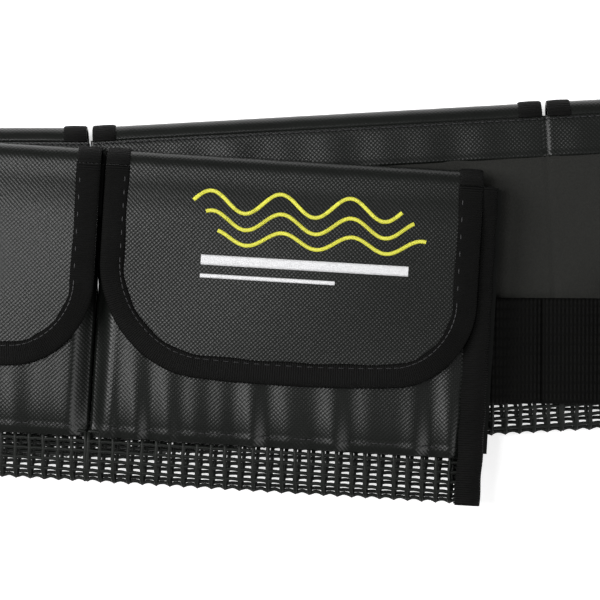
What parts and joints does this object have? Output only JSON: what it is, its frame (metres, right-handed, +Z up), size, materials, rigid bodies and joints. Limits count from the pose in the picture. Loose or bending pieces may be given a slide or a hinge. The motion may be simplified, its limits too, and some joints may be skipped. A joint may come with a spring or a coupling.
{
  "type": "dive weight belt",
  "caption": "Fabric diver's weight belt with flapped, mesh-bottomed weight pockets on webbing and a steel cam buckle, lying folded in two with its flaps closed.",
  "frame": {"origin": "middle of the bounding box's bottom face, on the surface the folded belt lies on", "axes": "+X along the lower run towards its free end, +Y towards the flaps' folds, +Z up"},
  "size_m": [0.8906, 0.2004, 0.0368],
  "materials": {
    "coated_fabric": "semi-gloss woven coating",
    "binding_tape": "matte ribbed",
    "drain_mesh": "knitted mesh",
    "lining": "matte speckled",
    "webbing": "ribbed weave",
    "hook_and_loop": "fuzzy",
    "stainless_steel": "brushed"
  },
  "bodies": {
    "rear_run": {"front_panel_3": "coated_fabric", "mesh_gusset_3": "drain_mesh", "flap_fold_3": "coated_fabric", "loop_strip_3": "hook_and_loop", "front_panel_4": "coated_fabric", "mesh_gusset_4": "drain_mesh", "flap_fold_4": "coated_fabric", "loop_strip_4": "hook_and_loop", "front_panel_5": "coated_fabric", "mesh_gusset_5": "drain_mesh", "flap_fold_5": "coated_fabric", "loop_strip_5": "hook_and_loop", "back_panel_3": "lining", "top_facing_3": "coated_fabric", "webbing_3": "webbing", "rear_sheet_3": "coated_fabric", "back_panel_4_5": "lining", "top_facing_4_5": "coated_fabric", "webbing_4_5": "webbing", "rear_sheet_4_5": "coated_fabric", "end_binding_far": "binding_tape"},
    "front_run": {"front_panel_1": "coated_fabric", "mesh_gusset_1": "drain_mesh", "flap_fold_1": "coated_fabric", "loop_strip_1": "hook_and_loop", "front_panel_2": "coated_fabric", "mesh_gusset_2": "drain_mesh", "flap_fold_2": "coated_fabric", "loop_strip_2": "hook_and_loop", "back_panel_1": "lining", "top_facing_1": "coated_fabric", "webbing_1": "webbing", "rear_sheet_1": "coated_fabric", "back_panel_2": "lining", "top_facing_2": "coated_fabric", "webbing_2": "webbing", "rear_sheet_2": "coated_fabric", "end_binding_near": "binding_tape"},
    "pocket_flap_1": {"flap_1": "coated_fabric", "flap_binding_1": "binding_tape", "hook_strip_1": "hook_and_loop"},
    "pocket_flap_2": {"flap_2": "coated_fabric", "flap_binding_2": "binding_tape", "hook_strip_2": "hook_and_loop"},
    "pocket_flap_3": {"flap_3": "coated_fabric", "flap_binding_3": "binding_tape", "hook_strip_3": "hook_and_loop"},
    "pocket_flap_4": {"flap_4": "coated_fabric", "flap_binding_4": "binding_tape", "hook_strip_4": "hook_and_loop"},
    "pocket_flap_5": {"flap_5": "coated_fabric", "flap_binding_5": "binding_tape", "hook_strip_5": "hook_and_loop"},
    "strap_and_buckle": {"buckle_strap": "webbing", "buckle_frame": "stainless_steel", "buckle_pin": "stainless_steel"},
    "cam_lever": {"buckle_lever": "stainless_steel"},
    "tail": {"webbing_tail": "webbing"}
  },
  "joints": [
    {"name": "fold_hinge", "type": "hinge", "parent": "rear_run", "child": "front_run", "pos_m": [-0.44002, 0.02165, 0.0176], "axis": [-0.0856, -0.9963, 0], "range_deg": [0, 178]},
    {"name": "flap_hinge_1", "type": "hinge", "parent": "front_run", "child": "pocket_flap_1", "pos_m": [-0.15093, 0.06671, 0.034], "axis": [-0.9934, 0.1149, 0], "range_deg": [0, 178]},
    {"name": "flap_hinge_2", "type": "hinge", "parent": "front_run", "child": "pocket_flap_2", "pos_m": [-0.33594, 0.08812, 0.034], "axis": [-0.9934, 0.1149, 0], "range_deg": [0, 178]},
    {"name": "flap_hinge_3", "type": "hinge", "parent": "rear_run", "child": "pocket_flap_3", "pos_m": [-0.34202, 0.09413, 0.0012], "axis": [0.9984, -0.0562, 0], "range_deg": [0, 120]},
    {"name": "flap_hinge_4", "type": "hinge", "parent": "rear_run", "child": "pocket_flap_4", "pos_m": [-0.14402, 0.08907, 0.0012], "axis": [1, 0, 0], "range_deg": [0, 178]},
    {"name": "flap_hinge_5", "type": "hinge", "parent": "rear_run", "child": "pocket_flap_5", "pos_m": [0.05798, 0.08907, 0.0012], "axis": [1, 0, 0], "range_deg": [0, 178]},
    {"name": "strap_hinge", "type": "hinge", "parent": "front_run", "child": "strap_and_buckle", "pos_m": [-0.06541, -0.02682, 0.0211], "axis": [-0.061, -0.9981, 0], "range_deg": [0, 60]},
    {"name": "cam_lever_hinge", "type": "hinge", "parent": "strap_and_buckle", "child": "cam_lever", "pos_m": [0.04598, -0.03363, 0.0308], "axis": [0.061, 0.9981, 0], "range_deg": [0, 110]},
    {"name": "tail_hinge", "type": "hinge", "parent": "rear_run", "child": "tail", "pos_m": [0.15388, 0.00607, 0.0141], "axis": [0, -1, 0], "range_deg": [0, 50]}
  ]
}
